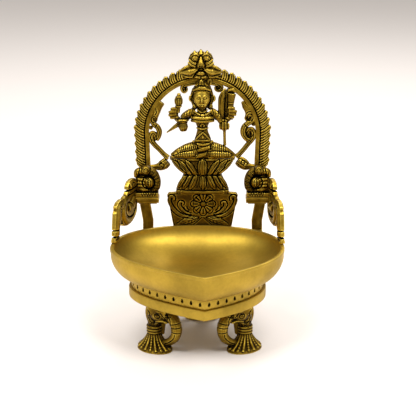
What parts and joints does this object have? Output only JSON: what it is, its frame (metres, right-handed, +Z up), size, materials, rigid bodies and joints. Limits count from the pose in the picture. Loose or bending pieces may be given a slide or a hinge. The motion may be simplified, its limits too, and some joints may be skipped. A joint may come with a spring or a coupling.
{
  "type": "kamakshi oil lamp",
  "caption": "Brass standing oil lamp: a pointed leaf-shaped bowl on a pierced gallery and curled legs, with an openwork back of pillars, water beasts, a flame arch and a seated crowned figure.",
  "frame": {"origin": "middle of the lamp's bounding box on the ground, under the bowl", "axes": "+Z up, -Y towards the bowl's pointed spout, +X to the right of someone facing the figure"},
  "size_m": [0.1362, 0.1326, 0.2207],
  "materials": {
    "polished_brass": "satin polished brass",
    "antique_brass": "antique brass with dark patina in the recesses"
  },
  "bodies": {
    "root": {"oil_bowl": "polished_brass", "pierced_gallery": "polished_brass", "base_plate": "polished_brass", "tie_bolt": "polished_brass", "tie_nut": "polished_brass", "front_left_leg": "antique_brass", "front_left_leg_screw": "polished_brass", "front_right_leg": "antique_brass", "front_right_leg_screw": "polished_brass", "rear_leg": "antique_brass", "rear_leg_screw": "polished_brass", "left_pillar": "antique_brass", "left_capital": "antique_brass", "left_water_beast": "antique_brass", "left_creeper": "antique_brass", "left_crown_hook": "antique_brass", "left_tie_scroll": "antique_brass", "left_bracket": "antique_brass", "right_pillar": "antique_brass", "right_capital": "antique_brass", "right_water_beast": "antique_brass", "right_creeper": "antique_brass", "right_crown_hook": "antique_brass", "right_tie_scroll": "antique_brass", "right_bracket": "antique_brass", "left_pillar_screw": "polished_brass", "left_panel_screw": "polished_brass", "right_panel_screw": "polished_brass", "right_pillar_screw": "polished_brass", "flame_arch": "antique_brass", "lion_mask_crest": "antique_brass", "plinth_panel": "antique_brass", "double_lotus": "antique_brass", "seated_figure": "antique_brass"}
  },
  "joints": []
}
